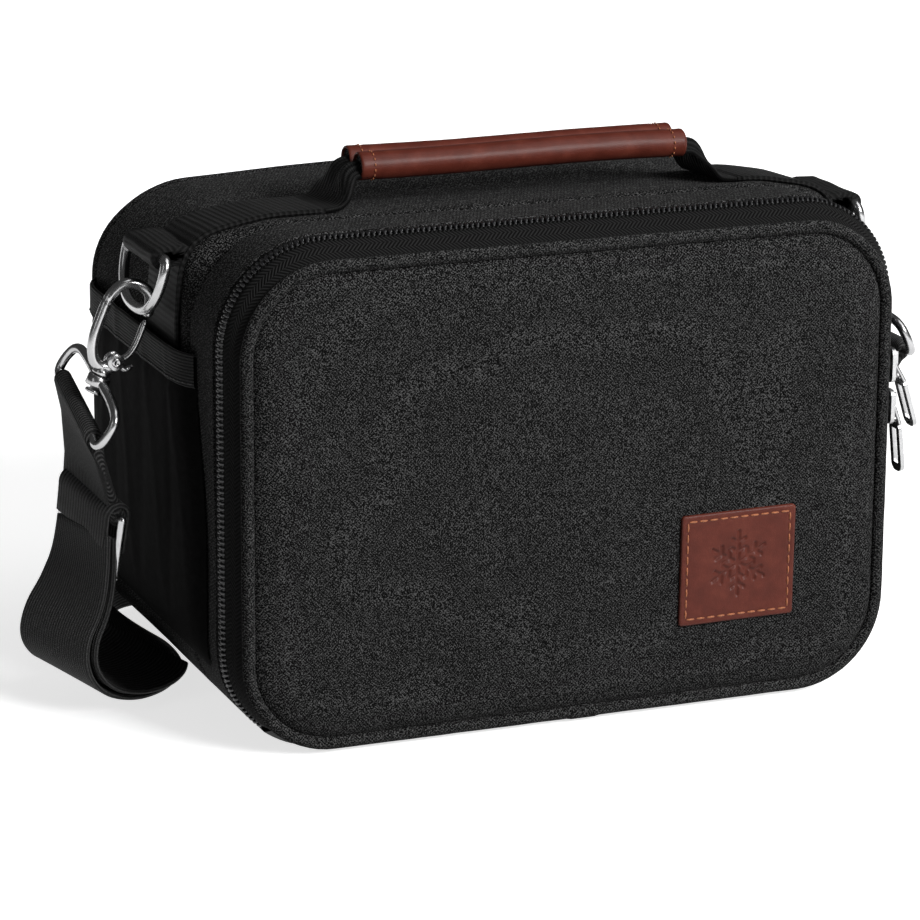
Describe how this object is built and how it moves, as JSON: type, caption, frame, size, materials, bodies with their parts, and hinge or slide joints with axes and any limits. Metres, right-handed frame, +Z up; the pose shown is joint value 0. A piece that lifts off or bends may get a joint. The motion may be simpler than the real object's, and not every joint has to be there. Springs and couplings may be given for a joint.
{
  "type": "insulated cooler bag",
  "caption": "Boxy soft-sided insulated cooler bag with a zipped front flap, a two-lobed leather carry grip, stretch side pockets and a clip-on shoulder strap.",
  "frame": {"origin": "middle of the footprint, on the surface the bag stands on", "axes": "+Z up, -Y out of the zipped front flap, +X to the right of someone facing the flap"},
  "size_m": [0.3716, 0.2058, 0.2181],
  "materials": {
    "canvas": "heathered charcoal twill",
    "stretch_fabric": "smooth black stretch weave",
    "webbing": "ribbed black webbing",
    "foam": "closed-cell foam",
    "lining": "silver-grey wipe-clean sheet",
    "zip_tape": "fine black herringbone tape",
    "zip_teeth": "black moulded coil",
    "leather": "red-brown smooth leather",
    "chrome_hardware": "polished",
    "slider_metal": "satin nickel"
  },
  "bodies": {
    "root": {"front_gusset": "canvas", "main_gusset": "canvas", "back_panel": "canvas", "gusset_foam": "foam", "back_foam": "foam", "inner_lining": "lining", "body_zip_tape": "zip_tape", "body_zip_coil": "zip_teeth", "zip_end_stops": "zip_teeth", "flap_hinge_gusset": "canvas", "left_pocket": "stretch_fabric", "left_pocket_band": "stretch_fabric", "right_pocket": "stretch_fabric", "right_pocket_band": "stretch_fabric", "left_side_strap": "webbing", "right_side_strap": "webbing", "left_handle_leg": "webbing", "right_handle_leg": "webbing", "left_ring_tab": "webbing", "right_ring_tab": "webbing", "left_swivel_ring": "chrome_hardware", "right_swivel_ring": "chrome_hardware", "left_strap_loop": "webbing", "right_strap_loop": "webbing", "strap_adjuster": "chrome_hardware", "shoulder_strap": "webbing"},
    "flap": {"flap_face": "canvas", "flap_foam": "foam", "flap_lining": "lining", "flap_piping": "canvas", "flap_zip_tape": "zip_tape", "flap_zip_coil": "zip_teeth", "leather_patch": "leather"},
    "handle": {"handle_grip": "leather", "handle_core": "foam"},
    "upper_slider": {"upper_slider": "slider_metal"},
    "lower_slider": {"lower_slider": "slider_metal"},
    "upper_pull": {"upper_pull_tab": "slider_metal"},
    "lower_pull": {"lower_pull_tab": "slider_metal"},
    "left_ring": {"left_d_ring": "chrome_hardware"},
    "right_ring": {"right_d_ring": "chrome_hardware"},
    "left_hook": {"left_hook_body": "chrome_hardware", "left_gate_rivet": "chrome_hardware"},
    "right_hook": {"right_hook_body": "chrome_hardware", "right_gate_rivet": "chrome_hardware"},
    "left_gate": {"left_hook_gate": "chrome_hardware"},
    "right_gate": {"right_hook_gate": "chrome_hardware"}
  },
  "joints": [
    {"name": "flap_hinge", "type": "hinge", "parent": "root", "child": "flap", "pos_m": [0, -0.088, 0.0085], "axis": [1, 0, 0], "range_deg": [0, 90], "deforming": ["flap_hinge_gusset"]},
    {"name": "handle_lift", "type": "slide", "parent": "root", "child": "handle", "axis": [0, 0, 1], "range_m": [-0.008, 0.01], "deforming": ["left_handle_leg", "right_handle_leg"]},
    {"name": "upper_slider_travel", "type": "slide", "parent": "root", "child": "upper_slider", "axis": [0, 0, 1], "range_m": [0, 0.02]},
    {"name": "lower_slider_travel", "type": "slide", "parent": "root", "child": "lower_slider", "axis": [0, 0, -1], "range_m": [0, 0.055]},
    {"name": "upper_pull_swing", "type": "hinge", "parent": "upper_slider", "child": "upper_pull", "pos_m": [0.14285, -0.0782, 0.129], "axis": [0, -1, 0], "range_deg": [0, 150]},
    {"name": "lower_pull_swing", "type": "hinge", "parent": "lower_slider", "child": "lower_pull", "pos_m": [0.14285, -0.0782, 0.112], "axis": [0, -1, 0], "range_deg": [0, 20]},
    {"name": "left_ring_swing", "type": "hinge", "parent": "root", "child": "left_ring", "pos_m": [-0.146, -0.015, 0.1845], "axis": [0, 1, 0], "range_deg": [0, 5]},
    {"name": "left_hook_swivel", "type": "hinge", "parent": "root", "child": "left_hook", "pos_m": [-0.1668, -0.015, 0.13444], "axis": [0.4226, 0, 0.9063], "range_deg": [-12, 12]},
    {"name": "left_gate_press", "type": "hinge", "parent": "left_hook", "child": "left_gate", "pos_m": [-0.16007, -0.015, 0.14178], "axis": [0, -1, 0], "range_deg": [0, 20], "stiffness_Nm_per_rad": 0.01, "springref_deg": -17.19},
    {"name": "right_ring_swing", "type": "hinge", "parent": "root", "child": "right_ring", "pos_m": [0.146, -0.015, 0.1845], "axis": [0, -1, 0], "range_deg": [0, 5]},
    {"name": "right_hook_swivel", "type": "hinge", "parent": "root", "child": "right_hook", "pos_m": [0.1668, -0.015, 0.13444], "axis": [-0.4226, 0, 0.9063], "range_deg": [-12, 12]},
    {"name": "right_gate_press", "type": "hinge", "parent": "right_hook", "child": "right_gate", "pos_m": [0.16007, -0.015, 0.14178], "axis": [0, 1, 0], "range_deg": [0, 20], "stiffness_Nm_per_rad": 0.01, "springref_deg": -17.19}
  ]
}
